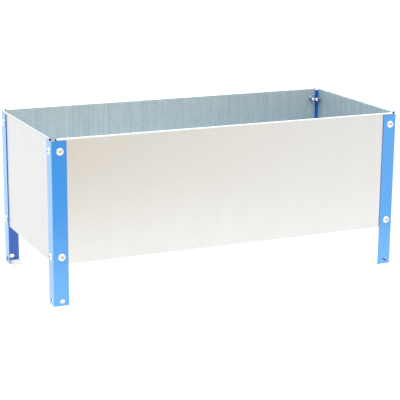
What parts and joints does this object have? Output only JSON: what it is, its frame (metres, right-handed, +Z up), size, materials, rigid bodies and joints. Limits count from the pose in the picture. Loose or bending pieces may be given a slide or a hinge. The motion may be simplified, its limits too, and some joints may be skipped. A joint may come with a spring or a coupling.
{
  "type": "raised planter on legs",
  "caption": "Open oblong planter box of bare galvanised sheet with rolled rims, bolted between blue angle posts that run down as legs onto pale L-shaped feet.",
  "frame": {"origin": "on the ground below the middle of the box", "axes": "+X along the length to the right seen from the front, -Y is the front, +Z up"},
  "size_m": [0.9086, 0.4086, 0.405],
  "materials": {
    "galvanised_sheet": "bare galvanised, satin with a faint vertical grain",
    "blue_paint": "smooth semi-gloss powder coat",
    "bright_zinc": "bright zinc plate",
    "pale_plastic": "moulded, slightly satin"
  },
  "bodies": {
    "root": {"back_panel": "galvanised_sheet", "bolt_back_at_back_left_lower": "bright_zinc", "bolt_back_at_back_left_upper": "bright_zinc", "bolt_back_at_back_right_lower": "bright_zinc", "bolt_back_at_back_right_upper": "bright_zinc", "bolt_front_at_front_left_lower": "bright_zinc", "bolt_front_at_front_left_upper": "bright_zinc", "bolt_front_at_front_right_lower": "bright_zinc", "bolt_front_at_front_right_upper": "bright_zinc", "bolt_left_at_back_left_lower": "bright_zinc", "bolt_left_at_back_left_upper": "bright_zinc", "bolt_left_at_front_left_lower": "bright_zinc", "bolt_left_at_front_left_upper": "bright_zinc", "bolt_right_at_back_right_lower": "bright_zinc", "bolt_right_at_back_right_upper": "bright_zinc", "bolt_right_at_front_right_lower": "bright_zinc", "bolt_right_at_front_right_upper": "bright_zinc", "floor_tray": "galvanised_sheet", "foot_back_left": "pale_plastic", "foot_back_right": "pale_plastic", "foot_front_left": "pale_plastic", "foot_front_right": "pale_plastic", "front_panel": "galvanised_sheet", "left_end_panel": "galvanised_sheet", "nut_back_at_back_left_lower": "bright_zinc", "nut_back_at_back_left_upper": "bright_zinc", "nut_back_at_back_right_lower": "bright_zinc", "nut_back_at_back_right_upper": "bright_zinc", "nut_front_at_front_left_lower": "bright_zinc", "nut_front_at_front_left_upper": "bright_zinc", "nut_front_at_front_right_lower": "bright_zinc", "nut_front_at_front_right_upper": "bright_zinc", "nut_left_at_back_left_lower": "bright_zinc", "nut_left_at_back_left_upper": "bright_zinc", "nut_left_at_front_left_lower": "bright_zinc", "nut_left_at_front_left_upper": "bright_zinc", "nut_right_at_back_right_lower": "bright_zinc", "nut_right_at_back_right_upper": "bright_zinc", "nut_right_at_front_right_lower": "bright_zinc", "nut_right_at_front_right_upper": "bright_zinc", "post_back_left": "blue_paint", "post_back_right": "blue_paint", "post_front_left": "blue_paint", "post_front_right": "blue_paint", "right_end_panel": "galvanised_sheet"}
  },
  "joints": []
}
